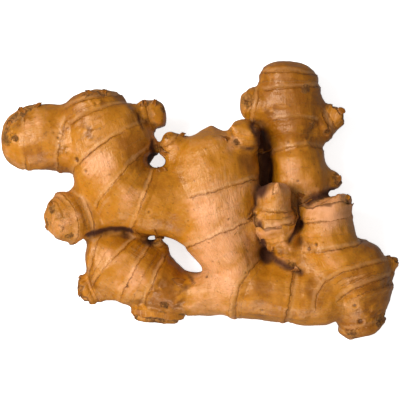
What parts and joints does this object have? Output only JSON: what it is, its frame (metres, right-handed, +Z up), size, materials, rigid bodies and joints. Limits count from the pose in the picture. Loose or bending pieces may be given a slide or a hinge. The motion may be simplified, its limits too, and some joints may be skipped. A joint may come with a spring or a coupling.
{
  "type": "ginger root",
  "caption": "Fresh ginger rhizome lying flat, with stubby bent fingers, side buds, leaf-scar rings and broken stubs.",
  "frame": {"origin": "under the middle of the root's bounding box, on the surface that it lies on", "axes": "+X along the root's longest side, to the right as seen from above; +Y away from the viewer; +Z up"},
  "size_m": [0.1678, 0.1176, 0.0371],
  "materials": {
    "ginger_skin": "dry papery skin, satin"
  },
  "bodies": {
    "root": {"ginger_root": "ginger_skin"}
  },
  "joints": []
}
